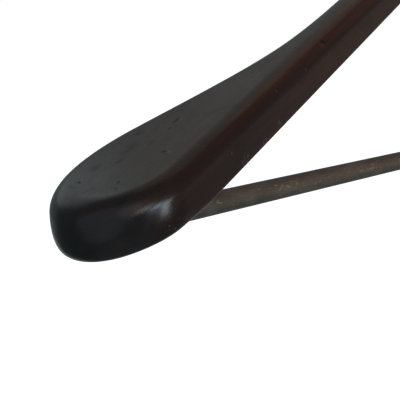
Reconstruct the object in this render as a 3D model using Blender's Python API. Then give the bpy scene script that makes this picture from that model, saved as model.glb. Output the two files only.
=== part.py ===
"""Wide-shouldered wooden suit hanger with a swivel hook and a round trouser bar. Metres, +Z up.

The origin is the point where the hook sits on a wardrobe rail, on the axis that the hook turns about.
The wings run along X, the front is on the -Y side, and the hanger hangs down from the origin.
Along a wing, reach is the distance from the glued seam in the middle (X = 0) towards the shoulder.
"""

import math

import bmesh
import bpy
from mathutils import Matrix, Vector

GAP = 0.0003  # between two faces that touch

# Wings, in plan
HALF_WIDTH = 0.2268
FRONT_AT_SEAM = -0.00983  # Y where the two straight front faces would meet
FRONT_SWEEP = math.tan(math.radians(1.74))  # the wings bow forward towards the shoulders
FRONT_BEND_RADIUS = 0.4
ARM_THICKNESS = 0.0201
FLARE_START = 0.1068
FLARE_SLOPE = math.tan(math.radians(23.74))
FLARE_SOFTNESS = 0.01376
END_SLANT = math.tan(math.radians(-2.67))
FRONT_CORNER_LENGTH, FRONT_FULLNESS = 0.0281, 0.53
BACK_CORNER_LENGTH, BACK_FULLNESS = 0.0612, 0.568
CORNER_SHARE = 0.405  # of the shoulder's end that belongs to the front corner

# Wings, in elevation
TOP_AT_SEAM = -0.08969  # Z where the two straight top faces would meet
TOP_SLOPE = math.tan(math.radians(25.2))
UNDERSIDE_AT_SEAM = -0.10878
UNDERSIDE_ANGLE = math.radians(26.1)
UNDERSIDE_BEND_RADIUS = 0.05
NECK_TOP = -0.08
NECK_FLAT_REACH = 0.009
NECK_BELL_REACH = 0.038

# Rounded edges of the wings
ARM_TOP_RADIUS = 0.0094
SHOULDER_TOP_RADIUS = 0.00736
NECK_TOP_RADIUS = 0.0035
NECK_ROUNDING_FROM, NECK_ROUNDING_TO = 0.012, 0.05
ARRIS_RADIUS = 0.002
SHOULDER_UNDER_INSET = 0.00605
SHOULDER_UNDER_RISE = 0.0157
SHOULDER_ROUNDING_FROM, SHOULDER_ROUNDING_TO = 0.18, 0.22

# Stations along a wing, and steps round its curves
NECK_STEP, NECK_STATIONS = 0.003, 15
ARM_STEP, ARM_STATIONS = 0.0063, 20
CORNER_STEPS = 12
UNDER_ROUNDING_STEPS = 4
TOP_ROUNDING_STEPS = 5

# Trouser bar, its sockets and its screws
BAR_Y, BAR_Z = 0.015, -0.207
BAR_RADIUS = 0.0051
BAR_HALF_LENGTH = 0.2195
BAR_CHAMFER = 0.0008
SOCKET_MOUTH_REACH = 0.185
SCREW_REACH = 0.206
SCREW_SHANK_RADIUS, SCREW_HEAD_RADIUS = 0.0013, 0.0026
SCREW_HEAD_DEPTH = 0.0014
SCREW_RIM = 0.00025
SCREW_HEAD_Z, SCREW_TIP_Z = BAR_Z - 0.0046, BAR_Z + 0.011
SCREW_POINT_LENGTH = 0.002

# Glue dowels across the neck seam
DOWEL_RADIUS = 0.00175
DOWEL_HALF_LENGTH = 0.015
DOWEL_Y, DOWEL_Z = 0.0062, -0.098

# Hook, and what it turns in
WIRE_RADIUS = 0.002
HOOK_INNER_RADIUS = 0.023
STEM_BEND_RADIUS = 0.018
HOOK_TIP_ANGLE = math.radians(192)
HOOK_LOOP_STEPS, STEM_BEND_STEPS, TIP_STEPS = 40, 14, 4
FOOT_RADIUS, FOOT_TOP, FOOT_BOTTOM = 0.0032, -0.1124, -0.1136
RUNNING_RADIUS = WIRE_RADIUS + GAP
BUSH_OUTER_RADIUS = 0.003
BUSH_TOP, BUSH_BOTTOM = NECK_TOP - GAP, -0.1062
COUNTERBORE_RADIUS, COUNTERBORE_CEILING = 0.006, -0.1065
WASHER_RADIUS, WASHER_TOP, WASHER_BOTTOM = 0.0056, -0.1068, -0.1078
NUT_CORNER_RADIUS, NUT_TOP, NUT_BOTTOM = 0.0046, -0.1081, -0.1121
COLLAR_RADIUS, COLLAR_SHOULDER_RADIUS, COLLAR_RIM_HEIGHT, COLLAR_HEIGHT = 0.006, 0.0032, 0.0012, 0.005

ROUND_SIDES = 24
WIRE_SIDES = 14
SHARP_ANGLE = math.radians(35)
WELD = 1e-6


# ---------------------------------------------------------------- shape of a wing

def blend(value, start, end):
    """0 before start, 1 after end, and a smooth ramp between them."""
    share = min(1.0, max(0.0, (value - start) / (end - start)))
    return share * share * (3 - 2 * share)


def bent_line(reach, height, slope_angle, radius):
    """A falling straight line whose middle, where it meets its mirror image, is an arc."""
    if reach >= radius * math.sin(slope_angle):
        return height - reach * math.tan(slope_angle)
    centre = height - radius / math.cos(slope_angle)
    return centre + math.sqrt(radius * radius - reach * reach)


def front_y(reach):
    return bent_line(reach, FRONT_AT_SEAM, math.atan(FRONT_SWEEP), FRONT_BEND_RADIUS)


def back_y(reach):
    flare = FLARE_SOFTNESS * math.log1p(math.exp((reach - FLARE_START) / FLARE_SOFTNESS))
    return front_y(reach) + ARM_THICKNESS + FLARE_SLOPE * flare


def top_z(reach):
    slope = TOP_AT_SEAM - reach * TOP_SLOPE
    return NECK_TOP + (slope - NECK_TOP) * blend(reach, NECK_FLAT_REACH, NECK_BELL_REACH)


def underside_z(reach):
    return bent_line(reach, UNDERSIDE_AT_SEAM, UNDERSIDE_ANGLE, UNDERSIDE_BEND_RADIUS)


def top_rounding(reach):
    """Radius of the routed top edge: small at the neck, full on the arm, easing towards the shoulder."""
    along_flare = min(1.0, max(0.0, (reach - FLARE_START) / (HALF_WIDTH - FLARE_START)))
    radius = ARM_TOP_RADIUS + (SHOULDER_TOP_RADIUS - ARM_TOP_RADIUS) * along_flare
    share = blend(reach, NECK_ROUNDING_FROM, NECK_ROUNDING_TO)
    return NECK_TOP_RADIUS + (radius - NECK_TOP_RADIUS) * share


def under_rounding(reach):
    """How far the lower edge is rounded, (inwards, upwards): crisp on the arm, full at the shoulder."""
    share = blend(reach, SHOULDER_ROUNDING_FROM, SHOULDER_ROUNDING_TO)
    return (ARRIS_RADIUS + (SHOULDER_UNDER_INSET - ARRIS_RADIUS) * share,
            ARRIS_RADIUS + (SHOULDER_UNDER_RISE - ARRIS_RADIUS) * share)


def corner_curve(corner, along_first, first_length, along_second, second_length, fullness):
    """A cubic curve round a corner, leaving and arriving along its two sides."""
    handle = 1 - fullness
    points = (corner + along_first * first_length,
              corner + along_first * first_length * handle,
              corner + along_second * second_length * handle,
              corner + along_second * second_length)
    curve = []
    for i in range(CORNER_STEPS + 1):
        t = i / CORNER_STEPS
        weights = ((1 - t) ** 3, 3 * (1 - t) ** 2 * t, 3 * (1 - t) * t * t, t ** 3)
        curve.append(sum((w * p for w, p in zip(weights, points)), Vector((0, 0))))
    return curve


def end_corners():
    """The two corners, (reach, y), where the shoulder's slanted end line meets the front and back lines."""
    straight_back_at_zero = FRONT_AT_SEAM + ARM_THICKNESS - FLARE_SLOPE * FLARE_START
    back_slope = FLARE_SLOPE - FRONT_SWEEP
    middle_y = (front_y(HALF_WIDTH) + back_y(HALF_WIDTH)) / 2
    end_reach_at_zero = HALF_WIDTH + middle_y * END_SLANT

    def meet(line_at_zero, slope):
        y = (line_at_zero + slope * end_reach_at_zero) / (1 + slope * END_SLANT)
        return Vector((end_reach_at_zero - y * END_SLANT, y))

    return meet(FRONT_AT_SEAM, -FRONT_SWEEP), meet(straight_back_at_zero, back_slope)


def plan_outline():
    """The wing seen from above: (reach, y) from the seam's front, round the shoulder, to its back."""
    stations = [GAP / 2] + [NECK_STEP * i for i in range(1, NECK_STATIONS + 1)]
    stations += [stations[-1] + ARM_STEP * i for i in range(1, ARM_STATIONS)]
    front_corner, back_corner = end_corners()
    across = back_corner - front_corner
    width = across.length
    across.normalize()
    inward_front = Vector((-1, FRONT_SWEEP)).normalized()
    inward_back = Vector((-1, FRONT_SWEEP - FLARE_SLOPE)).normalized()
    front_turn = corner_curve(front_corner, inward_front, FRONT_CORNER_LENGTH,
                              across, width * CORNER_SHARE, FRONT_FULLNESS)
    back_turn = corner_curve(back_corner, -across, width * (1 - CORNER_SHARE),
                             inward_back, BACK_CORNER_LENGTH, BACK_FULLNESS)

    def more_stations(end):
        """Further stations, up to where a corner's curve begins."""
        count = max(0, int((end - stations[-1]) / ARM_STEP - 0.5))
        return [stations[-1] + ARM_STEP * i for i in range(1, count + 1)]

    front = [Vector((reach, front_y(reach))) for reach in stations + more_stations(front_turn[0].x)]
    back = [Vector((reach, back_y(reach))) for reach in stations + more_stations(back_turn[-1].x)]
    return front + front_turn + back_turn[1:] + back[::-1], len(stations)


def inward_normals(outline):
    normals = []
    for i in range(len(outline)):
        along = outline[min(i + 1, len(outline) - 1)] - outline[max(i - 1, 0)]
        normals.append(Vector((-along.y, along.x)).normalized())
    normals[0], normals[-1] = Vector((0, 1)), Vector((0, -1))
    return normals


def wing_rings(outline):
    """Closed-up layers of the wing's skin, from its underside to its top face."""
    normals = inward_normals(outline)
    rings = []
    for i in range(UNDER_ROUNDING_STEPS + 1):
        angle = math.radians(90) * (1 - i / UNDER_ROUNDING_STEPS)
        ring = []
        for point, normal in zip(outline, normals):
            inset, rise = under_rounding(point.x)
            spot = point + normal * inset * (1 - math.cos(angle))
            ring.append(Vector((spot.x, spot.y, underside_z(spot.x) + rise * (1 - math.sin(angle)))))
        rings.append(ring)
    for i in range(TOP_ROUNDING_STEPS + 1):
        angle = math.radians(90) * i / TOP_ROUNDING_STEPS
        ring = []
        for point, normal in zip(outline, normals):
            radius = top_rounding(point.x)
            spot = point + normal * radius * (1 - math.cos(angle))
            ring.append(Vector((spot.x, spot.y, top_z(spot.x) - radius * (1 - math.sin(angle)))))
        rings.append(ring)
    return rings


# ---------------------------------------------------------------- making objects

def material(name, color, roughness, metallic=0.0):
    made = bpy.data.materials.get(name)
    if made is None:
        made = bpy.data.materials.new(name)
        made.use_nodes = True
        shader = made.node_tree.nodes["Principled BSDF"]
        shader.inputs["Base Color"].default_value = (*color, 1)
        shader.inputs["Roughness"].default_value = roughness
        shader.inputs["Metallic"].default_value = metallic
    return made


def stained_wood():
    return material("stained_wood", (0.035, 0.021, 0.018), 0.38)


def bar_wood():
    return material("bar_wood", (0.055, 0.046, 0.038), 0.6)


def plain_wood():
    return material("plain_wood", (0.55, 0.38, 0.22), 0.7)


def bright_steel():
    return material("bright_steel", (0.62, 0.62, 0.63), 0.22, 1.0)


def finish_object(name, mesh_maker, finish, location=(0, 0, 0), rotation=None):
    """Turns a filled bmesh into a named, smooth-shaded object with its material."""
    bmesh.ops.remove_doubles(mesh_maker, verts=mesh_maker.verts, dist=WELD)
    bmesh.ops.recalc_face_normals(mesh_maker, faces=mesh_maker.faces)
    mesh = bpy.data.meshes.new(name)
    mesh_maker.to_mesh(mesh)
    mesh_maker.free()
    mesh.shade_smooth()
    mesh.set_sharp_from_angle(angle=SHARP_ANGLE)
    if finish is not None:
        mesh.materials.append(finish)
    made = bpy.data.objects.new(name, mesh)
    bpy.context.scene.collection.objects.link(made)
    made.location = location
    if rotation is not None:
        made.rotation_euler = rotation
    return made


def turned(name, profile, finish, sides=ROUND_SIDES, location=(0, 0, 0), rotation=None):
    """A turned solid. A profile of (radius, z) that starts and ends on the axis makes a solid piece,
    and any other profile is closed on itself and makes a ring."""
    bm = bmesh.new()
    points = [bm.verts.new((radius, 0, z)) for radius, z in profile]
    edges = [bm.edges.new(pair) for pair in zip(points, points[1:])]
    if profile[0][0] > 0:
        edges.append(bm.edges.new((points[-1], points[0])))
    bmesh.ops.spin(bm, geom=points + edges, cent=(0, 0, 0), axis=(0, 0, 1),
                   angle=2 * math.pi, steps=sides, use_merge=True)
    return finish_object(name, bm, finish, location, rotation)


def swept_wire(name, path, finish, sides):
    """A round wire that follows a path in the XZ plane: (x, z, heading, radius) for each ring."""
    bm = bmesh.new()
    rings = []
    for x, z, heading, radius in path:
        sideways = Vector((-math.sin(heading), 0, math.cos(heading)))
        ring = []
        for i in range(sides):
            angle = 2 * math.pi * i / sides
            offset = sideways * math.cos(angle) + Vector((0, 1, 0)) * math.sin(angle)
            ring.append(bm.verts.new(Vector((x, 0, z)) + offset * radius))
        rings.append(ring)
    for low, high in zip(rings, rings[1:]):
        for i in range(sides):
            bm.faces.new((low[i], low[(i + 1) % sides], high[(i + 1) % sides], high[i]))
    bm.faces.new(rings[0])
    bm.faces.new(rings[-1])
    return finish_object(name, bm, finish)


def cut(target, cutters):
    """Takes the cutters out of the target with Boolean modifiers."""
    for cutter in cutters:
        cutter.hide_render = True
        cutter.display_type = "WIRE"
        modifier = target.modifiers.new("cut_" + cutter.name, "BOOLEAN")
        modifier.operation = "DIFFERENCE"
        modifier.solver = "EXACT"
        modifier.object = cutter


def round_cutter(name, radius, low, high, location, rotation=None):
    return turned(name, [(0, low), (radius, low), (radius, high), (0, high)], None,
                  location=location, rotation=rotation)


# ---------------------------------------------------------------- the pieces

ALONG_X = (0, math.radians(90), 0)


def make_wing(name, side):
    """One wing, side -1 for left and +1 for right, with the holes for what is fitted in it."""
    outline, stations = plan_outline()
    bm = bmesh.new()
    rings = [[bm.verts.new((side * spot.x, spot.y, spot.z)) for spot in ring]
             for ring in wing_rings(outline)]
    count = len(outline)
    for low, high in zip(rings, rings[1:]):
        for i in range(count - 1):
            bm.faces.new((low[i], low[i + 1], high[i + 1], high[i]))
    for ring in (rings[0], rings[-1]):
        for i in range(stations - 1):
            bm.faces.new((ring[i], ring[i + 1], ring[count - 2 - i], ring[count - 1 - i]))
        bm.faces.new(ring[stations - 1:count - stations + 1])
    seam_front = [ring[0] for ring in rings]
    seam_back = [ring[-1] for ring in rings]
    bm.faces.new(seam_front + seam_back[::-1])
    wing = finish_object(name, bm, stained_wood())
    cut(wing, wing_cutters(name, side))
    return wing


def wing_cutters(name, side):
    bore_radius = BUSH_OUTER_RADIUS + GAP
    socket_end = BAR_HALF_LENGTH + GAP
    dowel_end = DOWEL_HALF_LENGTH + GAP
    cutters = [
        round_cutter(name + "_bore", bore_radius, COUNTERBORE_CEILING - 0.002, NECK_TOP + 0.01, (0, 0, 0)),
        round_cutter(name + "_counterbore", COUNTERBORE_RADIUS, NECK_TOP - 0.06, COUNTERBORE_CEILING,
                     (0, 0, 0)),
        round_cutter(name + "_socket", BAR_RADIUS + GAP, SOCKET_MOUTH_REACH, socket_end,
                     (0, BAR_Y, BAR_Z), (0, side * math.radians(90), 0)),
        round_cutter(name + "_pilot", SCREW_SHANK_RADIUS + GAP, BAR_Z, SCREW_TIP_Z + GAP,
                     (side * SCREW_REACH, BAR_Y, 0)),
    ]
    for place, y in (("front", -DOWEL_Y), ("back", DOWEL_Y)):
        cutters.append(round_cutter(f"{name}_dowel_hole_{place}", DOWEL_RADIUS + GAP, -dowel_end,
                                    dowel_end, (0, y, DOWEL_Z), ALONG_X))
    return cutters


def make_trouser_bar():
    end, edge = BAR_HALF_LENGTH, BAR_RADIUS - BAR_CHAMFER
    profile = [(0, -end), (edge, -end), (BAR_RADIUS, BAR_CHAMFER - end),
               (BAR_RADIUS, end - BAR_CHAMFER), (edge, end), (0, end)]
    bar = turned("trouser_bar", profile, bar_wood(), location=(0, BAR_Y, BAR_Z), rotation=ALONG_X)
    hole = SCREW_SHANK_RADIUS + GAP
    sink = SCREW_HEAD_RADIUS + GAP
    rim = SCREW_HEAD_Z + SCREW_RIM
    for place, side in (("left", -1), ("right", 1)):
        cutter_profile = [(0, BAR_Z - 2 * BAR_RADIUS), (sink, BAR_Z - 2 * BAR_RADIUS), (sink, rim),
                          (hole, rim + SCREW_HEAD_DEPTH), (hole, BAR_Z + 2 * BAR_RADIUS),
                          (0, BAR_Z + 2 * BAR_RADIUS)]
        cut(bar, [turned(f"bar_hole_{place}", cutter_profile, None,
                         location=(side * SCREW_REACH, BAR_Y, 0))])
    return bar


def make_bar_screw(name, side):
    rim = SCREW_HEAD_Z + SCREW_RIM
    profile = [(0, SCREW_HEAD_Z), (SCREW_HEAD_RADIUS, SCREW_HEAD_Z), (SCREW_HEAD_RADIUS, rim),
               (SCREW_SHANK_RADIUS, rim + SCREW_HEAD_DEPTH),
               (SCREW_SHANK_RADIUS, SCREW_TIP_Z - SCREW_POINT_LENGTH), (0, SCREW_TIP_Z)]
    return turned(name, profile, bright_steel(), location=(side * SCREW_REACH, BAR_Y, 0))


def make_neck_dowel(name, y):
    end, chamfer = DOWEL_HALF_LENGTH, DOWEL_RADIUS / 4
    edge = DOWEL_RADIUS - chamfer
    profile = [(0, -end), (edge, -end), (DOWEL_RADIUS, chamfer - end),
               (DOWEL_RADIUS, end - chamfer), (edge, end), (0, end)]
    return turned(name, profile, plain_wood(), sides=16, location=(0, y, DOWEL_Z), rotation=ALONG_X)


def hook_path():
    """Rings along the wire: the headed foot, the straight stem, the reverse bend, the loop and its tip."""
    loop_radius = HOOK_INNER_RADIUS + WIRE_RADIUS
    loop_z = -HOOK_INNER_RADIUS
    centres = loop_radius + STEM_BEND_RADIUS
    drop = math.sqrt(centres ** 2 - STEM_BEND_RADIUS ** 2)
    bend_z = loop_z - drop
    turn = math.acos(STEM_BEND_RADIUS / centres)
    upwards = math.radians(90)
    path = [(0, FOOT_BOTTOM, upwards, FOOT_RADIUS), (0, FOOT_TOP, upwards, FOOT_RADIUS),
            (0, FOOT_TOP, upwards, WIRE_RADIUS)]
    for i in range(STEM_BEND_STEPS + 1):
        angle = turn * i / STEM_BEND_STEPS
        path.append((STEM_BEND_RADIUS * (1 - math.cos(angle)), bend_z + STEM_BEND_RADIUS * math.sin(angle),
                     upwards - angle, WIRE_RADIUS))
    for i in range(1, HOOK_LOOP_STEPS + 1):
        angle = -turn + (HOOK_TIP_ANGLE + turn) * i / HOOK_LOOP_STEPS
        path.append((loop_radius * math.cos(angle), loop_z + loop_radius * math.sin(angle),
                     angle + upwards, WIRE_RADIUS))
    x, z, heading, _ = path[-1]
    for i in range(1, TIP_STEPS):
        angle = math.radians(90) * i / TIP_STEPS
        ahead = WIRE_RADIUS * math.sin(angle)
        path.append((x + ahead * math.cos(heading), z + ahead * math.sin(heading), heading,
                     WIRE_RADIUS * math.cos(angle)))
    return path


def make_hook():
    return swept_wire("hook", hook_path(), bright_steel(), WIRE_SIDES)


def make_hook_collar():
    base = NECK_TOP + GAP
    rim = base + COLLAR_RIM_HEIGHT
    dome_height = COLLAR_HEIGHT - COLLAR_RIM_HEIGHT
    steps = 5
    profile = [(RUNNING_RADIUS, base), (COLLAR_RADIUS, base)]
    for i in range(steps + 1):
        angle = math.radians(90) * i / steps
        profile.append((COLLAR_SHOULDER_RADIUS + (COLLAR_RADIUS - COLLAR_SHOULDER_RADIUS) * math.cos(angle),
                        rim + dome_height * math.sin(angle)))
    profile.append((RUNNING_RADIUS, base + COLLAR_HEIGHT))
    return turned("hook_collar", profile, bright_steel())


def make_neck_bush():
    profile = [(RUNNING_RADIUS, BUSH_BOTTOM), (BUSH_OUTER_RADIUS, BUSH_BOTTOM),
               (BUSH_OUTER_RADIUS, BUSH_TOP), (RUNNING_RADIUS, BUSH_TOP)]
    return turned("neck_bush", profile, bright_steel())


def make_thrust_washer():
    profile = [(RUNNING_RADIUS, WASHER_BOTTOM), (WASHER_RADIUS, WASHER_BOTTOM),
               (WASHER_RADIUS, WASHER_TOP), (RUNNING_RADIUS, WASHER_TOP)]
    return turned("thrust_washer", profile, bright_steel())


def make_hook_nut():
    """A hexagon nut: six flats outside and a round hole inside, joined by flat end faces."""
    bm = bmesh.new()
    sides = 6
    rings = []
    for radius, z in ((RUNNING_RADIUS, NUT_BOTTOM), (NUT_CORNER_RADIUS, NUT_BOTTOM),
                      (NUT_CORNER_RADIUS, NUT_TOP), (RUNNING_RADIUS, NUT_TOP)):
        count = sides if radius == NUT_CORNER_RADIUS else ROUND_SIDES
        ring = [bm.verts.new(Matrix.Rotation(2 * math.pi * i / count, 3, "Z") @ Vector((radius, 0, z)))
                for i in range(count)]
        rings.append([bm.edges.new((ring[i], ring[(i + 1) % count])) for i in range(count)])
    for first, second in zip(rings, rings[1:] + rings[:1]):
        bmesh.ops.bridge_loops(bm, edges=first + second)
    return finish_object("hook_nut", bm, bright_steel())


def main():
    for old in list(bpy.data.objects):
        bpy.data.objects.remove(old)
    swivel = bpy.data.objects.new("hook_swivel", None)
    bpy.context.scene.collection.objects.link(swivel)
    turning = [make_hook(), make_hook_nut()]
    for piece in turning:
        piece.parent = swivel
    make_wing("left_wing", -1)
    make_wing("right_wing", 1)
    make_neck_dowel("neck_dowel_front", -DOWEL_Y)
    make_neck_dowel("neck_dowel_back", DOWEL_Y)
    make_trouser_bar()
    make_bar_screw("bar_screw_left", -1)
    make_bar_screw("bar_screw_right", 1)
    make_hook_collar()
    make_neck_bush()
    make_thrust_washer()


main()
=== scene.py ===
import math

import bmesh
import bpy
from mathutils import Euler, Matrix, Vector


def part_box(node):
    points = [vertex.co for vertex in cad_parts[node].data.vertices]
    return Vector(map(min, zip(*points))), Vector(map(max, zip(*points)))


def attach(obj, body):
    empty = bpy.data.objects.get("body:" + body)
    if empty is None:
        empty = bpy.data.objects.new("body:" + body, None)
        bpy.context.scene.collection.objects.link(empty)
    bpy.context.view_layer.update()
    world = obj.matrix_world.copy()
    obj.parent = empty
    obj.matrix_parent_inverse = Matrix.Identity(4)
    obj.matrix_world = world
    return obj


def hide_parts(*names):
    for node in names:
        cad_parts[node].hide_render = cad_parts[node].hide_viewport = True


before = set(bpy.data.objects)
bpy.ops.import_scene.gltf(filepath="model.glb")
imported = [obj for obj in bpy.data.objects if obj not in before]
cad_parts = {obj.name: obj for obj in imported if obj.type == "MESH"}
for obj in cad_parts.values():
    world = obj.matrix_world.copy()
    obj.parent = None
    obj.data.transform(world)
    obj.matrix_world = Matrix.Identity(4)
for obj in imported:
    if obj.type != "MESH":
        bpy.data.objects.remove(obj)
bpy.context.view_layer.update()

# Dark-stained suit hanger. The visible pieces are rebuilt here with the CAD's own formulas, at a finer
# step and with small details that the CAD leaves out, such as eased edges and the screws' recesses.
# Metres, in the part's own frame: +Z up, the front towards -Y, the hook's rail point at the origin.
# Along a wing, reach is the distance from the glued seam in the middle towards the shoulder.

GAP = 0.0003  # clearance of a fitted part in its hole, as in the CAD

# Wings, in plan
HALF_WIDTH = 0.2268
FRONT_AT_SEAM = -0.00983
FRONT_SWEEP = math.tan(math.radians(1.74))
FRONT_BEND_RADIUS = 0.4
ARM_THICKNESS = 0.0201
FLARE_START = 0.1068
FLARE_SLOPE = math.tan(math.radians(23.74))
FLARE_SOFTNESS = 0.01376
END_SLANT = math.tan(math.radians(-2.67))
FRONT_CORNER_LENGTH, FRONT_FULLNESS = 0.0281, 0.53
BACK_CORNER_LENGTH, BACK_FULLNESS = 0.0612, 0.568
CORNER_SHARE = 0.405

# Wings, in elevation
TOP_AT_SEAM = -0.08969
TOP_ANGLE = math.radians(25.2)
UNDERSIDE_AT_SEAM = -0.10878
UNDERSIDE_ANGLE = math.radians(26.1)
UNDERSIDE_BEND_RADIUS = 0.05
NECK_TOP = -0.08
NECK_FLAT_REACH = 0.009
NECK_BELL_REACH = 0.038

# Rounded edges of the wings
ARM_TOP_RADIUS = 0.0094
SHOULDER_TOP_RADIUS = 0.00736
NECK_TOP_RADIUS = 0.0035
NECK_ROUNDING_FROM, NECK_ROUNDING_TO = 0.012, 0.05
ARRIS_RADIUS = 0.002
SHOULDER_UNDER_INSET = 0.00605
SHOULDER_UNDER_RISE = 0.0157
SHOULDER_ROUNDING_FROM, SHOULDER_ROUNDING_TO = 0.18, 0.22

# Stations along a wing, and steps round its curves
NECK_STEP, NECK_STATIONS = 0.0015, 30
ARM_STEP, ARM_STATIONS = 0.0021, 57
CORNER_STEPS = 34
UNDER_ROUNDING_STEPS = 10
TOP_ROUNDING_STEPS = 16
FLAT_MARGIN = 0.0004  # a ring this far inside a flat face keeps its shading flat
SEAM_HALF_GAP = 0.00004  # the glue line at the neck, and the fine groove along it
SEAM_GROOVE = 0.00022
TOP_EDGE_WEAR = 0.25  # how worn the top edges are, where the lower edges are 1

# How far a cutting tool stands out of the piece that it cuts
PAST_WOOD = 0.01
PAST_METAL = 0.001
BORE_OVERLAP = 0.002  # of the neck's bore with the counterbore below it

# Trouser bar, its sockets and its screws
BAR_Y, BAR_Z = 0.015, -0.207
BAR_RADIUS = 0.0051
BAR_HALF_LENGTH = 0.2195
BAR_CHAMFER, BAR_CHAMFER_STEPS = 0.0008, 5
SOCKET_MOUTH_REACH = 0.185
SCREW_REACH = 0.206
SCREW_SHANK_RADIUS, SCREW_HEAD_RADIUS = 0.0013, 0.0026
SCREW_HEAD_DEPTH, SCREW_RIM = 0.0014, 0.00025
SCREW_HEAD_Z, SCREW_TIP_Z = BAR_Z - 0.0046, BAR_Z + 0.011
SCREW_POINT_LENGTH = 0.002
SCREW_CROWN = 0.00012  # how far the middle of the head stands out
SCREW_SIDES = 40
RECESS_ARM, RECESS_WIDTH, RECESS_DEPTH = 0.0017, 0.0005, 0.0011
RECESS_OUTER_ARM, RECESS_INNER_ARM = RECESS_ARM * 1.3, RECESS_ARM * 0.35
RECESS_TURN = 37  # degrees

# Glue dowels across the neck seam
DOWEL_RADIUS = 0.00175
DOWEL_HALF_LENGTH = 0.015
DOWEL_Y, DOWEL_Z = 0.0062, -0.098

# Hook, and what it turns in
WIRE_RADIUS = 0.002
HOOK_INNER_RADIUS = 0.023
STEM_BEND_RADIUS = 0.018
HOOK_TIP_ANGLE = math.radians(192)
HOOK_LOOP_STEPS, STEM_BEND_STEPS, TIP_STEPS = 120, 40, 9
FOOT_RADIUS, FOOT_TOP, FOOT_BOTTOM = 0.0032, -0.1124, -0.1136
FOOT_EASE = 0.0003
RUNNING_RADIUS = WIRE_RADIUS + GAP
BUSH_OUTER_RADIUS = 0.003
BUSH_TOP, BUSH_BOTTOM = NECK_TOP - GAP, -0.1062
COUNTERBORE_RADIUS, COUNTERBORE_CEILING = 0.006, -0.1065
COUNTERBORE_START = NECK_TOP - 0.06  # well below the neck's underside
WASHER_RADIUS, WASHER_TOP, WASHER_BOTTOM = 0.0056, -0.1068, -0.1078
NUT_CORNER_RADIUS, NUT_TOP, NUT_BOTTOM = 0.0046, -0.1081, -0.1121
NUT_FACE_RADIUS = NUT_CORNER_RADIUS * 0.86  # where the corners' turned slope meets the end faces
NUT_SLOPE_RADIUS, NUT_SLOPE_DEPTH = NUT_CORNER_RADIUS * 1.02, 0.0005
NUT_SLOPE_SLIP = 0.00002  # the slope's tool stands this far proud of the end faces
COLLAR_RADIUS, COLLAR_SHOULDER_RADIUS = 0.006, 0.0032
COLLAR_RIM_HEIGHT, COLLAR_HEIGHT = 0.0012, 0.005
COLLAR_EASE, COLLAR_DOME_STEPS = 0.0003, 14
RING_EASE, RING_EASE_STEPS = 0.0002, 4  # of the bush's and the washer's outer edges

ROUND_SIDES = 64
WIRE_SIDES = 28
SHARP_ANGLE = math.radians(32)
WELD = 1e-6
ALONG_X = (0, math.radians(90), 0)


# ---------------------------------------------------------------- shape of a wing

def blend(value, start, end):
    """0 before start, 1 after end, and a smooth ramp between them."""
    share = min(1.0, max(0.0, (value - start) / (end - start)))
    return share * share * (3 - 2 * share)


def bent_line(reach, height, slope_angle, radius):
    """A falling straight line whose middle, where it meets its mirror image, is an arc."""
    if reach >= radius * math.sin(slope_angle):
        return height - reach * math.tan(slope_angle)
    centre = height - radius / math.cos(slope_angle)
    return centre + math.sqrt(radius * radius - reach * reach)


def front_y(reach):
    return bent_line(reach, FRONT_AT_SEAM, math.atan(FRONT_SWEEP), FRONT_BEND_RADIUS)


def back_y(reach):
    flare = FLARE_SOFTNESS * math.log1p(math.exp((reach - FLARE_START) / FLARE_SOFTNESS))
    return front_y(reach) + ARM_THICKNESS + FLARE_SLOPE * flare


def top_z(reach):
    slope = TOP_AT_SEAM - reach * math.tan(TOP_ANGLE)
    return NECK_TOP + (slope - NECK_TOP) * blend(reach, NECK_FLAT_REACH, NECK_BELL_REACH)


def underside_z(reach):
    return bent_line(reach, UNDERSIDE_AT_SEAM, UNDERSIDE_ANGLE, UNDERSIDE_BEND_RADIUS)


def top_rounding(reach):
    """Radius of the routed top edge: small at the neck, full on the arm, easing towards the shoulder."""
    along_flare = min(1.0, max(0.0, (reach - FLARE_START) / (HALF_WIDTH - FLARE_START)))
    radius = ARM_TOP_RADIUS + (SHOULDER_TOP_RADIUS - ARM_TOP_RADIUS) * along_flare
    share = blend(reach, NECK_ROUNDING_FROM, NECK_ROUNDING_TO)
    return NECK_TOP_RADIUS + (radius - NECK_TOP_RADIUS) * share


def under_rounding(reach):
    """How far the lower edge is rounded, (inwards, upwards): crisp on the arm, full at the shoulder."""
    share = blend(reach, SHOULDER_ROUNDING_FROM, SHOULDER_ROUNDING_TO)
    return (ARRIS_RADIUS + (SHOULDER_UNDER_INSET - ARRIS_RADIUS) * share,
            ARRIS_RADIUS + (SHOULDER_UNDER_RISE - ARRIS_RADIUS) * share)


def corner_curve(corner, along_first, first_length, along_second, second_length, fullness):
    """A cubic curve round a corner, leaving and arriving along its two sides."""
    handle = 1 - fullness
    points = (corner + along_first * first_length,
              corner + along_first * first_length * handle,
              corner + along_second * second_length * handle,
              corner + along_second * second_length)
    curve = []
    for i in range(CORNER_STEPS + 1):
        t = i / CORNER_STEPS
        weights = ((1 - t) ** 3, 3 * (1 - t) ** 2 * t, 3 * (1 - t) * t * t, t ** 3)
        curve.append(sum((w * p for w, p in zip(weights, points)), Vector((0, 0))))
    return curve


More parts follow.
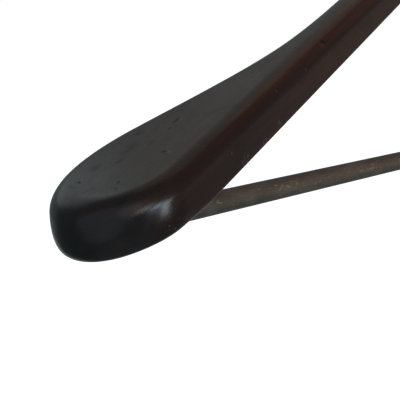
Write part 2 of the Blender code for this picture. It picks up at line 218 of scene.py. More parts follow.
def end_corners():
    """The two corners, (reach, y), where the shoulder's slanted end line meets the front and back lines."""
    straight_back_at_zero = FRONT_AT_SEAM + ARM_THICKNESS - FLARE_SLOPE * FLARE_START
    back_slope = FLARE_SLOPE - FRONT_SWEEP
    middle_y = (front_y(HALF_WIDTH) + back_y(HALF_WIDTH)) / 2
    end_reach_at_zero = HALF_WIDTH + middle_y * END_SLANT

    def meet(line_at_zero, slope):
        y = (line_at_zero + slope * end_reach_at_zero) / (1 + slope * END_SLANT)
        return Vector((end_reach_at_zero - y * END_SLANT, y))

    return meet(FRONT_AT_SEAM, -FRONT_SWEEP), meet(straight_back_at_zero, back_slope)


def plan_outline():
    """The wing seen from above: (reach, y) from the seam's front, round the shoulder, to its back."""
    stations = [SEAM_HALF_GAP, SEAM_HALF_GAP + SEAM_GROOVE]
    stations += [NECK_STEP * i for i in range(1, NECK_STATIONS + 1)]
    stations += [stations[-1] + ARM_STEP * i for i in range(1, ARM_STATIONS + 1)]
    front_corner, back_corner = end_corners()
    across = back_corner - front_corner
    width = across.length
    across.normalize()
    inward_front = Vector((-1, FRONT_SWEEP)).normalized()
    inward_back = Vector((-1, FRONT_SWEEP - FLARE_SLOPE)).normalized()
    front_turn = corner_curve(front_corner, inward_front, FRONT_CORNER_LENGTH,
                              across, width * CORNER_SHARE, FRONT_FULLNESS)
    back_turn = corner_curve(back_corner, -across, width * (1 - CORNER_SHARE),
                             inward_back, BACK_CORNER_LENGTH, BACK_FULLNESS)

    def more_stations(end):
        """Further stations, up to where a corner's curve begins."""
        count = max(0, int((end - stations[-1]) / ARM_STEP - 0.5))
        return [stations[-1] + ARM_STEP * i for i in range(1, count + 1)]

    front = [Vector((reach, front_y(reach))) for reach in stations + more_stations(front_turn[0].x)]
    back = [Vector((reach, back_y(reach))) for reach in stations + more_stations(back_turn[-1].x)]
    return front + front_turn + back_turn[1:] + back[::-1], len(stations)


def inward_normals(outline):
    normals = []
    for i in range(len(outline)):
        along = outline[min(i + 1, len(outline) - 1)] - outline[max(i - 1, 0)]
        normals.append(Vector((-along.y, along.x)).normalized())
    normals[0], normals[-1] = Vector((0, 1)), Vector((0, -1))
    normals[1], normals[-2] = normals[0], normals[-1]
    return normals


def wing_rings(outline):
    """Layers of the wing's skin, from its underside to its top face: (points, wear at that edge)."""
    normals = inward_normals(outline)
    layers = []

    def add_layer(height_at, rounding_at, angle, direction, margin, wear):
        ring = []
        for point, normal in zip(outline, normals):
            inset, rise = rounding_at(point.x)
            groove = SEAM_GROOVE if point.x < SEAM_GROOVE else 0.0
            spot = point + normal * (inset * (1 - math.cos(angle)) + margin + groove)
            lift = rise * (1 - math.sin(angle)) + groove
            ring.append(Vector((spot.x, spot.y, height_at(spot.x) + direction * lift)))
        layers.append((ring, wear))

    def top_both(reach):
        return top_rounding(reach), top_rounding(reach)

    square = math.radians(90)
    add_layer(underside_z, under_rounding, square, 1, FLAT_MARGIN, 0.0)
    for i in range(UNDER_ROUNDING_STEPS + 1):
        share = 1 - i / UNDER_ROUNDING_STEPS
        add_layer(underside_z, under_rounding, square * share, 1, 0.0, math.sin(math.pi * share))
    for i in range(TOP_ROUNDING_STEPS + 1):
        share = i / TOP_ROUNDING_STEPS
        wear = TOP_EDGE_WEAR * math.sin(math.pi * share)
        add_layer(top_z, top_both, square * share, -1, 0.0, wear)
    add_layer(top_z, top_both, square, -1, FLAT_MARGIN, 0.0)
    return layers


# ---------------------------------------------------------------- making pieces

def finish_mesh(name, bm, location=(0, 0, 0), rotation=(0, 0, 0)):
    """Turns a filled bmesh into a smooth-shaded object, with its place in its mesh."""
    bmesh.ops.remove_doubles(bm, verts=bm.verts, dist=WELD)
    bmesh.ops.recalc_face_normals(bm, faces=bm.faces)
    turn = Euler(rotation).to_matrix().to_4x4()
    turn.translation = location
    bm.transform(turn)
    mesh = bpy.data.meshes.new(name)
    bm.to_mesh(mesh)
    bm.free()
    mesh.shade_smooth()
    mesh.set_sharp_from_angle(angle=SHARP_ANGLE)
    made = bpy.data.objects.new(name, mesh)
    bpy.context.scene.collection.objects.link(made)
    return made


def turned(name, profile, sides=ROUND_SIDES, location=(0, 0, 0), rotation=(0, 0, 0)):
    """A turned solid. A profile of (radius, z) that starts and ends on the axis makes a solid piece,
    and any other profile is closed on itself and makes a ring."""
    bm = bmesh.new()
    points = [bm.verts.new((radius, 0, z)) for radius, z in profile]
    edges = [bm.edges.new(pair) for pair in zip(points, points[1:])]
    if profile[0][0] > 0:
        edges.append(bm.edges.new((points[-1], points[0])))
    bmesh.ops.spin(bm, geom=points + edges, cent=(0, 0, 0), axis=(0, 0, 1),
                   angle=2 * math.pi, steps=sides, use_merge=True)
    return finish_mesh(name, bm, location, rotation)


def swept_wire(name, path, sides):
    """A round wire along a path in the XZ plane: (x, z, heading, radius) for each ring."""
    bm = bmesh.new()
    rings = []
    for x, z, heading, radius in path:
        sideways = Vector((-math.sin(heading), 0, math.cos(heading)))
        ring = []
        for i in range(sides):
            angle = 2 * math.pi * i / sides
            offset = sideways * math.cos(angle) + Vector((0, 1, 0)) * math.sin(angle)
            ring.append(bm.verts.new(Vector((x, 0, z)) + offset * radius))
        rings.append(ring)
    for low, high in zip(rings, rings[1:]):
        for i in range(sides):
            bm.faces.new((low[i], low[(i + 1) % sides], high[(i + 1) % sides], high[i]))
    bm.faces.new(rings[0])
    bm.faces.new(rings[-1])
    return finish_mesh(name, bm)


def shape_with(target, tools, operation="DIFFERENCE"):
    """Cuts the tools out of the target, or keeps only what is inside them, and removes the tools."""
    for tool in tools:
        modifier = target.modifiers.new(tool.name, "BOOLEAN")
        modifier.operation = operation
        modifier.solver = "EXACT"
        modifier.object = tool
    depsgraph = bpy.context.evaluated_depsgraph_get()
    shaped = bpy.data.meshes.new_from_object(target.evaluated_get(depsgraph))
    target.modifiers.clear()
    target.data = shaped
    shaped.set_sharp_from_angle(angle=SHARP_ANGLE)
    for tool in tools:
        bpy.data.objects.remove(tool)
    return target


def round_tool(name, radius, low, high, location=(0, 0, 0), rotation=(0, 0, 0)):
    return turned(name, [(0, low), (radius, low), (radius, high), (0, high)],
                  location=location, rotation=rotation)


def ring_profile(inner, outer, bottom, top):
    """The profile of a ring with eased outer edges."""
    profile = [(inner, bottom)]
    for centre_z, start in ((bottom + RING_EASE, -90), (top - RING_EASE, 0)):
        for i in range(RING_EASE_STEPS + 1):
            angle = math.radians(start + 90 * i / RING_EASE_STEPS)
            profile.append((outer - RING_EASE + RING_EASE * math.cos(angle),
                            centre_z + RING_EASE * math.sin(angle)))
    profile.append((inner, top))
    return profile


def dress(piece, finish, body, slot, *nodes):
    """Gives a piece its material and its place in the model."""
    piece.data.materials.clear()
    piece.data.materials.append(finish)
    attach(piece, body)
    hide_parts(*nodes)
    return piece


# ---------------------------------------------------------------- the pieces

def make_wing(name, side):
    """One wing, side -1 for left and +1 for right, with the holes for what is fitted in it."""
    outline, shared = plan_outline()
    bm = bmesh.new()
    wear_layer = bm.verts.layers.float.new("edge_wear")
    rings = []
    for points, wear in wing_rings(outline):
        ring = []
        for spot in points:
            vertex = bm.verts.new((side * spot.x, spot.y, spot.z))
            vertex[wear_layer] = wear
            ring.append(vertex)
        rings.append(ring)
    count = len(outline)
    for low, high in zip(rings, rings[1:]):
        for i in range(count - 1):
            bm.faces.new((low[i], low[i + 1], high[i + 1], high[i]))
    for ring in (rings[0], rings[-1]):
        for i in range(shared - 1):
            bm.faces.new((ring[i], ring[i + 1], ring[count - 2 - i], ring[count - 1 - i]))
        bm.faces.new(ring[shared - 1:count - shared + 1])
    bm.faces.new([ring[0] for ring in rings] + [ring[-1] for ring in reversed(rings)])
    wing = finish_mesh(name, bm)

    socket_end = BAR_HALF_LENGTH + GAP
    dowel_end = DOWEL_HALF_LENGTH + GAP
    tools = [
        round_tool("bore", BUSH_OUTER_RADIUS + GAP, COUNTERBORE_CEILING - BORE_OVERLAP,
                   NECK_TOP + PAST_WOOD),
        round_tool("counterbore", COUNTERBORE_RADIUS, COUNTERBORE_START, COUNTERBORE_CEILING),
        round_tool("socket", BAR_RADIUS + GAP, SOCKET_MOUTH_REACH, socket_end,
                   (0, BAR_Y, BAR_Z), (0, side * math.radians(90), 0)),
        round_tool("pilot", SCREW_SHANK_RADIUS + GAP, BAR_Z, SCREW_TIP_Z + GAP,
                   (side * SCREW_REACH, BAR_Y, 0)),
    ]
    for y in (-DOWEL_Y, DOWEL_Y):
        tools.append(round_tool("dowel_hole", DOWEL_RADIUS + GAP, -dowel_end, dowel_end,
                                (0, y, DOWEL_Z), ALONG_X))
    return shape_with(wing, tools)


def make_trouser_bar():
    """The turned dowel, with eased ends and the countersunk holes for its two screws."""
    end = BAR_HALF_LENGTH
    profile = [(0, -end)]
    for start, centre in ((-90, BAR_CHAMFER - end), (0, end - BAR_CHAMFER)):
        for i in range(BAR_CHAMFER_STEPS + 1):
            angle = math.radians(start + 90 * i / BAR_CHAMFER_STEPS)
            profile.append((BAR_RADIUS - BAR_CHAMFER + BAR_CHAMFER * math.cos(angle),
                            centre + BAR_CHAMFER * math.sin(angle)))
    profile.append((0, end))
    bar = turned("trouser_bar_turned", profile, location=(0, BAR_Y, BAR_Z), rotation=ALONG_X)
    hole, sink = SCREW_SHANK_RADIUS + GAP, SCREW_HEAD_RADIUS + GAP
    rim = SCREW_HEAD_Z + SCREW_RIM
    below, above = BAR_Z - 2 * BAR_RADIUS, BAR_Z + 2 * BAR_RADIUS
    tool_profile = [(0, below), (sink, below), (sink, rim), (hole, rim + SCREW_HEAD_DEPTH),
                    (hole, above), (0, above)]
    tools = [turned("screw_hole", tool_profile, SCREW_SIDES, (side * SCREW_REACH, BAR_Y, 0))
             for side in (-1, 1)]
    return shape_with(bar, tools)


def make_bar_screw(name, side):
    """A countersunk screw, head down, with a cross recess."""
    rim = SCREW_HEAD_Z + SCREW_RIM
    profile = [(0, SCREW_HEAD_Z - SCREW_CROWN),
               (SCREW_HEAD_RADIUS * 0.6, SCREW_HEAD_Z - 0.7 * SCREW_CROWN),
               (SCREW_HEAD_RADIUS, SCREW_HEAD_Z), (SCREW_HEAD_RADIUS, rim),
               (SCREW_SHANK_RADIUS, rim + SCREW_HEAD_DEPTH),
               (SCREW_SHANK_RADIUS, SCREW_TIP_Z - SCREW_POINT_LENGTH), (0, SCREW_TIP_Z)]
    centre = (side * SCREW_REACH, BAR_Y, 0)
    screw = turned(name, profile, SCREW_SIDES, centre)
    tools = []
    for quarter in (0, 1):
        bm = bmesh.new()
        half = RECESS_WIDTH / 2
        spots = []
        for z, arm in ((SCREW_HEAD_Z - PAST_METAL, RECESS_OUTER_ARM), (SCREW_HEAD_Z, RECESS_ARM),
                       (SCREW_HEAD_Z + RECESS_DEPTH, RECESS_INNER_ARM)):
            spots.append([bm.verts.new((x, y, z)) for x, y in
                          ((-arm, -half), (arm, -half), (arm, half), (-arm, half))])
        for low, high in zip(spots, spots[1:]):
            for i in range(4):
                bm.faces.new((low[i], low[(i + 1) % 4], high[(i + 1) % 4], high[i]))
        bm.faces.new(spots[0])
        bm.faces.new(spots[-1])
        turn = math.radians(RECESS_TURN + 90 * quarter)
        tools.append(finish_mesh("recess", bm, centre, (0, 0, turn)))
    return shape_with(screw, tools)


def hook_path():
    """Rings along the wire: the headed foot, the straight stem, the reverse bend, the loop and its tip."""
    loop_radius = HOOK_INNER_RADIUS + WIRE_RADIUS
    loop_z = -HOOK_INNER_RADIUS
    centres = loop_radius + STEM_BEND_RADIUS
    bend_z = loop_z - math.sqrt(centres ** 2 - STEM_BEND_RADIUS ** 2)
    turn = math.acos(STEM_BEND_RADIUS / centres)
    upwards = math.radians(90)
    foot = ((FOOT_BOTTOM, FOOT_RADIUS - FOOT_EASE), (FOOT_BOTTOM + FOOT_EASE, FOOT_RADIUS),
            (FOOT_TOP - FOOT_EASE, FOOT_RADIUS), (FOOT_TOP, FOOT_RADIUS - FOOT_EASE),
            (FOOT_TOP, WIRE_RADIUS))
    path = [(0, z, upwards, radius) for z, radius in foot]
    for i in range(STEM_BEND_STEPS + 1):
        angle = turn * i / STEM_BEND_STEPS
        path.append((STEM_BEND_RADIUS * (1 - math.cos(angle)),
                     bend_z + STEM_BEND_RADIUS * math.sin(angle), upwards - angle, WIRE_RADIUS))
    for i in range(1, HOOK_LOOP_STEPS + 1):
        angle = -turn + (HOOK_TIP_ANGLE + turn) * i / HOOK_LOOP_STEPS
        path.append((loop_radius * math.cos(angle), loop_z + loop_radius * math.sin(angle),
                     angle + upwards, WIRE_RADIUS))
    x, z, heading, _ = path[-1]
    for i in range(1, TIP_STEPS):
        angle = math.radians(90) * i / TIP_STEPS
        ahead = WIRE_RADIUS * math.sin(angle)
        path.append((x + ahead * math.cos(heading), z + ahead * math.sin(heading), heading,
                     WIRE_RADIUS * math.cos(angle)))
    return path


def make_hook_collar():
    """The domed ferrule on top of the neck."""
    base = NECK_TOP + GAP
    rim = base + COLLAR_RIM_HEIGHT
    dome_height = COLLAR_HEIGHT - COLLAR_RIM_HEIGHT
    spread = COLLAR_RADIUS - COLLAR_SHOULDER_RADIUS
    profile = [(RUNNING_RADIUS, base), (COLLAR_RADIUS - COLLAR_EASE, base),
               (COLLAR_RADIUS - COLLAR_EASE * 0.3, base + COLLAR_EASE * 0.3),
               (COLLAR_RADIUS, base + COLLAR_EASE)]
    for i in range(COLLAR_DOME_STEPS + 1):
        angle = math.radians(90) * i / COLLAR_DOME_STEPS
        profile.append((COLLAR_SHOULDER_RADIUS + spread * math.cos(angle),
                        rim + dome_height * math.sin(angle)))
    profile.append((RUNNING_RADIUS + COLLAR_EASE, base + COLLAR_HEIGHT))
    profile.append((RUNNING_RADIUS, base + COLLAR_HEIGHT - COLLAR_EASE))
    return turned("hook_collar_domed", profile)


def make_hook_nut():
    """A hexagon nut whose corners are turned down at both ends."""
    bm = bmesh.new()
    rings = []
    for z in (NUT_BOTTOM, NUT_TOP):
        rings.append([bm.verts.new((NUT_CORNER_RADIUS * math.cos(math.radians(60 * i)),
                                    NUT_CORNER_RADIUS * math.sin(math.radians(60 * i)), z))
                      for i in range(6)])
    for i in range(6):
        bm.faces.new((rings[0][i], rings[0][(i + 1) % 6], rings[1][(i + 1) % 6], rings[1][i]))
    bm.faces.new(rings[0])
    bm.faces.new(rings[1])
    nut = finish_mesh("hook_nut_hexagon", bm)
    low, high = NUT_BOTTOM - NUT_SLOPE_SLIP, NUT_TOP + NUT_SLOPE_SLIP
    envelope = turned("nut_envelope", [(0, low), (NUT_FACE_RADIUS, low),
                                       (NUT_SLOPE_RADIUS, NUT_BOTTOM + NUT_SLOPE_DEPTH),
                                       (NUT_SLOPE_RADIUS, NUT_TOP - NUT_SLOPE_DEPTH),
                                       (NUT_FACE_RADIUS, high), (0, high)])
    shape_with(nut, [envelope], "INTERSECT")
    bore = round_tool("nut_bore", RUNNING_RADIUS, NUT_BOTTOM - PAST_METAL, NUT_TOP + PAST_METAL)
    return shape_with(nut, [bore])


# ---------------------------------------------------------------- materials

class Finish:
    """A procedural material, built node by node. Inputs are values or other nodes' outputs."""

    def __init__(self, name):
        self.material = bpy.data.materials.new(name)
        self.material.use_nodes = True
        self.tree = self.material.node_tree
        self.shader = self.tree.nodes["Principled BSDF"]

    def put(self, node, inputs):
        for key, value in inputs.items():
            socket = node.inputs[key]
            if isinstance(value, bpy.types.NodeSocket):
                self.tree.links.new(value, socket)
            else:
                socket.default_value = value

    def add(self, kind, inputs=None, **settings):
        node = self.tree.nodes.new(kind)
        for key, value in settings.items():
            setattr(node, key, value)
        self.put(node, inputs or {})
        return node

    def shade(self, **inputs):
        self.put(self.shader, {key.replace("_", " "): value for key, value in inputs.items()})

    def place(self, rotation=(0, 0, 0), offset=(0, 0, 0)):
        """Coordinates in metres on the piece, turned so that X runs along the grain."""
        coordinates = self.add("ShaderNodeTexCoord").outputs["Object"]
        return self.add("ShaderNodeMapping", {"Vector": coordinates, "Rotation": rotation,
                                              "Location": offset}).outputs[0]

    def stretch(self, vector, scale, offset=(0, 0, 0)):
        return self.add("ShaderNodeMapping", {"Vector": vector, "Scale": scale,
                                              "Location": offset}).outputs[0]

    def noise(self, vector, detail=3.0, roughness=0.5, distortion=0.0):
        return self.add("ShaderNodeTexNoise", {"Vector": vector, "Scale": 1.0, "Detail": detail,
                                               "Roughness": roughness,
                                               "Distortion": distortion}).outputs["Fac"]

    def cells(self, vector):
        return self.add("ShaderNodeTexVoronoi", {"Vector": vector, "Scale": 1.0}).outputs["Distance"]

    def steps(self, value, low, high, to_low=0.0, to_high=1.0):
        """Maps low..high smoothly to to_low..to_high, and holds the ends."""
        return self.add("ShaderNodeMapRange", {"Value": value, "From Min": low, "From Max": high,
                                               "To Min": to_low, "To Max": to_high},
                        interpolation_type="SMOOTHSTEP").outputs[0]

    def math(self, operation, first, second=0.0, third=0.0):
        return self.add("ShaderNodeMath", {0: first, 1: second, 2: third}, operation=operation).outputs[0]

    def mix(self, share, first, second):
        node = self.add("ShaderNodeMix", data_type="RGBA")
        self.put(node, {0: share, 6: first, 7: second})
        return node.outputs[2]

    def bump(self, height, distance, normal=None):
        inputs = {"Height": height, "Distance": distance, "Strength": 1.0}
        if normal is not None:
            inputs["Normal"] = normal
        return self.add("ShaderNodeBump", inputs).outputs[0]

    def mark(self, vector, centre, size):
        """1 at a point of the piece, falling to 0 an ellipsoid's half axes away."""
        moved = self.add("ShaderNodeVectorMath", {0: vector, 1: centre}, operation="SUBTRACT").outputs[0]
        scaled = self.add("ShaderNodeVectorMath", {0: moved, 1: size}, operation="DIVIDE").outputs[0]
        length = self.add("ShaderNodeVectorMath", {0: scaled}, operation="LENGTH").outputs["Value"]
        return self.steps(length, 0.0, 1.0, 1.0, 0.0)


def rgba(red, green, blue):
    return (red, green, blue, 1.0)


# Colours of the materials, linear
STAIN_DARK, STAIN_LIGHT = rgba(0.030, 0.0105, 0.0070), rgba(0.056, 0.0205, 0.0125)
STAIN_IN_FIBRES, STAIN_IN_PORES = rgba(0.022, 0.0085, 0.0062), rgba(0.010, 0.0055, 0.0045)
# painted shade on the shoulder's end face: darker and grey-blue, standing in for its shade and the dark
# blue it reflects
END_FACE_PAINTED_SHADE = rgba(0.011, 0.0095, 0.0100)
STAIN_DULLED = rgba(0.008, 0.007, 0.008)
STAIN_CHIPPED_OFF = rgba(0.24, 0.165, 0.105)
BAR_DARK, BAR_LIGHT = rgba(0.122, 0.089, 0.068), rgba(0.215, 0.160, 0.118)
BAR_RUBBED, BAR_FLECKS = rgba(0.255, 0.160, 0.106), rgba(0.50, 0.37, 0.21)
BAR_FIBRES = rgba(0.085, 0.066, 0.050)
BARE_WOOD, BARE_FIBRES = rgba(0.60, 0.42, 0.25), rgba(0.44, 0.29, 0.16)
STEEL_BRIGHT, STEEL_HAZED = rgba(0.74, 0.74, 0.76), rgba(0.64, 0.63, 0.63)
ZINC_LIGHT, ZINC_DARK = rgba(0.62, 0.62, 0.60), rgba(0.50, 0.51, 0.52)
FLOOR_GREY, FLOOR_PALE = rgba(0.90, 0.90, 0.90), rgba(0.93, 0.93, 0.93)
WHITE = rgba(1, 1, 1)

# The shoulder's end face, painted darker and grey-blue as painted shade with a painted dark blue
# reflection: reach, Y and Z of the middle of the painted region, and its half axes
END_SHADE_REACH, END_SHADE_Y, END_SHADE_Z = 0.235, 0.01, -0.195
END_SHADE_SIZE = (0.045, 0.1, 0.1)

# Where trousers have rubbed the bar: all along its front, a little above the middle
RUBBED_CENTRE = (0.0, BAR_Y - BAR_RADIUS, BAR_Z + 0.25 * BAR_RADIUS)
RUBBED_SIZE = (0.4, 1.1 * BAR_RADIUS, 0.75 * BAR_RADIUS)

# What use has left on the left wing: reach, place across (Y) and drop below the plane of the top, then
# half length along the wing, half width across it and, for a dent, depth
DENTS = [
    (0.170, 0.012, 0.0, 0.0045, 0.0020, 0.00045),
    (0.175, 0.011, 0.0, 0.0012, 0.0012, 0.00030),
    (0.190, 0.0005, 0.0, 0.0020, 0.0030, 0.00045),
    (0.213, 0.023, 0.0, 0.0010, 0.0010, 0.00030),
    (0.210, 0.0055, 0.0, 0.0015, 0.0008, 0.00020),
    (0.2135, 0.0035, 0.0, 0.0010, 0.0008, 0.00020),
    (0.136, -0.0125, 0.0045, 0.0012, 0.0012, 0.00030),
    (0.1145, -0.013, 0.0065, 0.0010, 0.0010, 0.00025),
    (0.0985, -0.0105, 0.0035, 0.0025, 0.0015, 0.00045),
]
SMUDGES = [
    (0.190, 0.0195, 0.0, 0.0100, 0.0060),
    (0.185, 0.013, 0.0, 0.0042, 0.0034),
    (0.2035, 0.024, 0.0, 0.0045, 0.0040),
    (0.1795, 0.0235, 0.0, 0.0045, 0.0035),
    (0.198, 0.0165, 0.0, 0.0060, 0.0030),
]
CHIPPED = [
    (0.160, -0.0147, 0.019, 0.0036, 0.0025),
    (0.1455, -0.0142, 0.0195, 0.0028, 0.0025),
    (0.1355, -0.014, 0.0185, 0.0028, 0.0025),
    (0.1695, -0.015, 0.011, 0.0012, 0.0025),
]


def worn_spot(f, here, side, reach, across, drop, half_length, half_width):
    """1 in the middle of a mark on a wing, falling to 0 at its outline."""
    height = TOP_AT_SEAM - reach * math.tan(TOP_ANGLE) - drop
    return f.mark(here, (side * reach, across, height), (half_length, half_width, half_length))


def stained_wood(name, side, seed, dents=(), smudges=(), chipped=()):
    """Dark red-brown stain under a satin lacquer that has been handled, knocked and rubbed."""
    f = Finish(name)
    here = f.place()
    grain = f.place((0, -side * TOP_ANGLE, 0), (seed, 0.37 * seed, 0.71 * seed))

    figure = f.noise(f.stretch(grain, (9, 130, 130)), 4, 0.55, 0.6)
    fibres = f.noise(f.stretch(grain, (45, 1500, 1500)), 3, 0.6)
    pores = f.steps(f.noise(f.stretch(grain, (260, 3600, 3600)), 2, 0.5), 0.62, 0.72)
    colour = f.mix(f.steps(figure, 0.35, 0.68), STAIN_DARK, STAIN_LIGHT)
    colour = f.mix(f.steps(fibres, 0.3, 0.75, 0.0, 0.45), colour, STAIN_IN_FIBRES)
    colour = f.mix(f.math("MULTIPLY", pores, 0.6), colour, STAIN_IN_PORES)

    # painted shade: the shoulder's end face is painted darker and grey-blue, standing in for its shade and
    # the dark blue it reflects
    end_face_shade = f.mark(here, (side * END_SHADE_REACH, END_SHADE_Y, END_SHADE_Z), END_SHADE_SIZE)
    colour = f.mix(f.steps(end_face_shade, 0.1, 0.6, 0.0, 0.5), colour, END_FACE_PAINTED_SHADE)

    wear = f.add("ShaderNodeAttribute", attribute_name="edge_wear").outputs["Fac"]
    chips = f.noise(f.stretch(grain, (900, 1300, 1300), (0.3, 0.1, 0.7)), 3, 0.65)
    patches = f.noise(f.stretch(grain, (60, 60, 60), (0.9, 0.4, 0.2)), 2, 0.5)
    bare = f.math("MULTIPLY", f.steps(chips, 0.60, 0.70), f.steps(patches, 0.52, 0.66))
    bare = f.math("MULTIPLY", bare, f.steps(wear, 0.3, 0.9))
    for row in chipped:
        spot = f.steps(worn_spot(f, here, side, *row), 0.0, 0.4)
        bare = f.math("MAXIMUM", bare, f.math("MULTIPLY", f.steps(chips, 0.54, 0.60, 0.0, 0.7), spot))
    colour = f.mix(bare, colour, STAIN_CHIPPED_OFF)

    clouds = f.noise(f.stretch(grain, (60, 95, 95)), 5, 0.65, 0.8)
    ragged = f.noise(f.stretch(grain, (260, 420, 420), (0.2, 0.6, 0.1)), 4, 0.6, 0.5)
    dull = f.steps(clouds, 0.52, 0.74, 0.0, 0.35)
    for row in smudges:
        touch = f.math("MULTIPLY", worn_spot(f, here, side, *row), f.steps(ragged, 0.30, 0.50))
        dull = f.math("MAXIMUM", dull, touch)
    colour = f.mix(dull, colour, STAIN_DULLED)
    rough = f.math("MULTIPLY_ADD", dull, 0.22, f.steps(clouds, 0.32, 0.72, 0.20, 0.27))
    rough = f.math("MULTIPLY_ADD", fibres, 0.03, rough)

    waves = f.noise(f.stretch(grain, (35, 60, 60)), 2, 0.5)
    peel = f.noise(f.stretch(grain, (650, 900, 900)), 2, 0.5)
    normal = f.bump(waves, 0.0001)
    normal = f.bump(peel, 0.000002, normal)
    normal = f.bump(fibres, 0.000005, normal)
    normal = f.bump(f.math("SUBTRACT", 1.0, f.math("ADD", pores, bare)), 0.00001, normal)
    hollow = 0.0
    for *row, depth in dents:
        hollow = f.math("MULTIPLY_ADD", worn_spot(f, here, side, *row), -depth, hollow)
    if dents:
        normal = f.bump(hollow, 1.0, normal)
    f.shade(Base_Color=colour, Roughness=rough, Normal=normal, IOR=1.5)
    return f.material


def bar_wood():
    """Dark paint on a turned dowel, rubbed through along its front to golden bare flecks."""
    f = Finish("bar_wood_rubbed")
    here = f.place()
    rubbed = f.mark(here, RUBBED_CENTRE, RUBBED_SIZE)
    mottle = f.noise(f.stretch(here, (55, 160, 160)), 4, 0.6, 0.5)
    fibres = f.noise(f.stretch(here, (120, 2200, 2200)), 3, 0.6)
    chips = f.noise(f.stretch(here, (300, 900, 900)), 4, 0.65)
    stretches = f.noise(f.stretch(here, (42, 60, 60), (0.4, 0.8, 0.3)), 2, 0.5)
    lengths = f.steps(stretches, 0.42, 0.60, 0.03, 0.13)
    flecks = f.steps(f.math("MULTIPLY_ADD", rubbed, lengths, chips), 0.62, 0.74)
    colour = f.mix(f.steps(mottle, 0.35, 0.7), BAR_DARK, BAR_LIGHT)
    colour = f.mix(f.math("MULTIPLY", rubbed, 0.7), colour, BAR_RUBBED)
    colour = f.mix(f.steps(fibres, 0.35, 0.8, 0.0, 0.5), colour, BAR_FIBRES)
    colour = f.mix(f.math("MULTIPLY", flecks, 0.75), colour, BAR_FLECKS)
    rough = f.steps(mottle, 0.3, 0.75, 0.48, 0.62)
    normal = f.bump(fibres, 0.00005)
    normal = f.bump(flecks, 0.00004, normal)
    f.shade(Base_Color=colour, Roughness=rough, Normal=normal, IOR=1.45)
    return f.material


def plain_wood():
    """Bare pale hardwood of the glue dowels."""
    f = Finish("dowel_wood_bare")
    grain = f.place()
    fibres = f.noise(f.stretch(grain, (60, 1800, 1800)), 4, 0.6)
    colour = f.mix(f.steps(fibres, 0.3, 0.7), BARE_WOOD, BARE_FIBRES)
    f.shade(Base_Color=colour, Roughness=f.steps(fibres, 0.3, 0.7, 0.6, 0.75),
            Normal=f.bump(fibres, 0.00004), IOR=1.45)
    return f.material


def bright_steel():
    """Polished nickel-bright steel with faint rub marks and a few duller patches."""
    f = Finish("steel_polished")
    spot = f.place()
    haze = f.noise(f.stretch(spot, (120, 120, 120)), 4, 0.6, 0.4)
    scratches = f.noise(f.stretch(spot, (2600, 2600, 300)), 3, 0.7, 0.3)
    colour = f.mix(haze, STEEL_BRIGHT, STEEL_HAZED)
    rough = f.math("MULTIPLY_ADD", scratches, 0.07, f.steps(haze, 0.35, 0.75, 0.10, 0.22))
    f.shade(Base_Color=colour, Metallic=1.0, Roughness=rough, Normal=f.bump(scratches, 0.000004))
    return f.material


def zinc_steel():
    """Zinc-plated steel: dull, slightly mottled."""
    f = Finish("steel_zinc_plated")
    spot = f.place()
    bloom = f.noise(f.stretch(spot, (500, 500, 500)), 4, 0.6, 0.6)
    crystals = f.cells(f.stretch(spot, (1600, 1600, 1600)))
    colour = f.mix(bloom, ZINC_LIGHT, ZINC_DARK)
    rough = f.math("MULTIPLY_ADD", crystals, 0.12, f.steps(bloom, 0.3, 0.7, 0.28, 0.42))
    f.shade(Base_Color=colour, Metallic=1.0, Roughness=rough, Normal=f.bump(crystals, 0.000012))
    return f.material


# ---------------------------------------------------------------- floor, light and camera

FLOOR_Z = -0.62
FLOOR_REACH = 12.0
FLOOR_GLOW = 1.05

CAMERA_PLACE = Vector((-0.446435, -0.2240, -0.135535))
CAMERA_YAW = math.radians(39.033)
CAMERA_PITCH = math.radians(-10.267)
CAMERA_LENS, CAMERA_SENSOR = 82.356, 36.0  # millimetres
CAMERA_NEAR, CAMERA_FAR = 0.01, 100.0

# Tints of the light and of the surfaces round the hanger, linear
DAYLIGHT = (0.93, 1.0, 1.05)
SKYLIGHT = (0.75, 1.0, 1.25)
LAMPLIGHT = (1.6, 1.0, 0.75)
PLASTER = (1.0, 0.95, 0.95)
CREAM = (1.2, 1.0, 0.85)
SHADE = (0.5, 1.0, 1.3)
RED_WOOD = (1.0, 0.2, 0.02)
BROWN_WOOD = (1.0, 0.5, 0.35)

LIGHT_DISTANCE = 1.4
# name, direction from the shoulder (azimuth from +X towards +Y, elevation), diameter, brightness, tint
LIGHTS = [
    ("front_lamp", -89, -8, 0.38, 5.4, DAYLIGHT),
    ("front_window", -106, 0, 0.42, 5.0, SKYLIGHT),
    ("front_left_window", -127, 12, 0.50, 2.4, PLASTER),
    ("left_window", -148, 30, 0.70, 0.45, LAMPLIGHT),
    ("left_wall", -172, 10, 2.4, 0.2, SKYLIGHT),
    ("back_wall", 68, 6, 2.4, 0.13, PLASTER),
    ("back_window", 94, 36, 1.0, 0.47, DAYLIGHT),
    ("ceiling", 45, 66, 1.5, 0.2, CREAM),
    ("right_wall", -10, 42, 1.6, 0.22, RED_WOOD),
    ("right_low", -10, -6, 1.6, 0.17, BROWN_WOOD),
    ("back_low", 50, -40, 1.8, 0.3, PLASTER),
    ("floor_left", -130, -62, 1.8, 0.07, SHADE),
]
AMBIENT = (0.06, 0.11, 0.12)


def make_floor():
    bm = bmesh.new()
    corners = ((-1, -1), (1, -1), (1, 1), (-1, 1))
    bm.faces.new([bm.verts.new((FLOOR_REACH * x, FLOOR_REACH * y, FLOOR_Z)) for x, y in corners])
    floor = finish_mesh("floor", bm)
    f = Finish("floor_pale")
    tone = f.noise(f.stretch(f.place(), (3, 3, 3)), 3, 0.5)
    f.shade(Base_Color=f.mix(tone, FLOOR_GREY, FLOOR_PALE), Roughness=0.9,
            Emission_Color=WHITE, Emission_Strength=FLOOR_GLOW)
    floor.data.materials.append(f.material)
    floor.visible_diffuse = False
    floor.visible_glossy = False


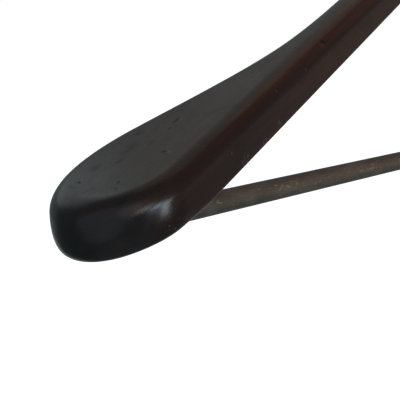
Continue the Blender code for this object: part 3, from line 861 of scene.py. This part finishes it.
def make_world():
    """White for the camera, and a dim blue-green for what the hanger reflects."""
    world = bpy.data.worlds.new("studio")
    bpy.context.scene.world = world
    world.use_nodes = True
    tree = world.node_tree
    tree.nodes.clear()
    seen = tree.nodes.new("ShaderNodeBackground")
    seen.inputs["Color"].default_value = WHITE
    ambient = tree.nodes.new("ShaderNodeBackground")
    ambient.inputs["Color"].default_value = rgba(*AMBIENT)
    path = tree.nodes.new("ShaderNodeLightPath")
    mix = tree.nodes.new("ShaderNodeMixShader")
    out = tree.nodes.new("ShaderNodeOutputWorld")
    tree.links.new(path.outputs["Is Camera Ray"], mix.inputs[0])
    tree.links.new(ambient.outputs[0], mix.inputs[1])
    tree.links.new(seen.outputs[0], mix.inputs[2])
    tree.links.new(mix.outputs[0], out.inputs[0])


def make_lights():
    low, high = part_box("left_wing")
    centre = (low + high) / 2
    for name, azimuth, elevation, diameter, brightness, tint in LIGHTS:
        azimuth, elevation = math.radians(azimuth), math.radians(elevation)
        towards = Vector((math.cos(azimuth) * math.cos(elevation), math.sin(azimuth) * math.cos(elevation),
                          math.sin(elevation)))
        data = bpy.data.lights.new(name, "AREA")
        data.shape = "DISK"
        data.size = diameter
        data.color = tint
        data.energy = brightness * math.pi * math.pi * diameter ** 2 / 4
        light = bpy.data.objects.new(name, data)
        bpy.context.scene.collection.objects.link(light)
        light.location = centre + towards * LIGHT_DISTANCE
        light.rotation_euler = towards.to_track_quat("Z", "Y").to_euler()
        light.visible_camera = False


def make_camera():
    data = bpy.data.cameras.new("camera")
    data.sensor_width = CAMERA_SENSOR
    data.lens = CAMERA_LENS
    data.clip_start, data.clip_end = CAMERA_NEAR, CAMERA_FAR
    camera = bpy.data.objects.new("camera", data)
    bpy.context.scene.collection.objects.link(camera)
    ahead = Vector((math.cos(CAMERA_YAW) * math.cos(CAMERA_PITCH),
                    math.sin(CAMERA_YAW) * math.cos(CAMERA_PITCH), math.sin(CAMERA_PITCH)))
    camera.location = CAMERA_PLACE
    camera.rotation_euler = ahead.to_track_quat("-Z", "Y").to_euler()
    bpy.context.scene.camera = camera


# ---------------------------------------------------------------- putting it together

def main():
    polished, plated = bright_steel(), zinc_steel()
    for name, side, seed in (("left", -1, 0.0), ("right", 1, 0.83)):
        marks = (DENTS, SMUDGES, CHIPPED) if name == "left" else ()
        wing = make_wing(f"{name}_wing_solid", side)
        wood = stained_wood(f"wood_stained_{name}", side, seed, *marks)
        dress(wing, wood, "hanger", "stained_wood", f"{name}_wing")
        dress(make_bar_screw(f"bar_screw_{name}_recessed", side), plated, "hanger", "zinc_steel",
              f"bar_screw_{name}")
    dress(make_trouser_bar(), bar_wood(), "hanger", "bar_wood", "trouser_bar")
    dress(make_hook_collar(), polished, "hanger", "bright_steel", "hook_collar")
    dress(swept_wire("hook_wire", hook_path(), WIRE_SIDES), polished, "hook", "bright_steel", "hook")
    dress(make_hook_nut(), plated, "hook", "zinc_steel", "hook_nut")
    tube = ring_profile(RUNNING_RADIUS, BUSH_OUTER_RADIUS, BUSH_BOTTOM, BUSH_TOP)
    dress(turned("neck_bush_tube", tube), plated, "hanger", "zinc_steel", "neck_bush")
    ring = ring_profile(RUNNING_RADIUS, WASHER_RADIUS, WASHER_BOTTOM, WASHER_TOP)
    dress(turned("thrust_washer_ring", ring), plated, "hanger", "zinc_steel", "thrust_washer")
    bare = plain_wood()
    for name in ("neck_dowel_front", "neck_dowel_back"):
        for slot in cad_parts[name].material_slots:
            slot.material = bare
    make_floor()
    make_world()
    make_lights()
    make_camera()


main()
bpy.context.scene.view_settings.view_transform = "Standard"
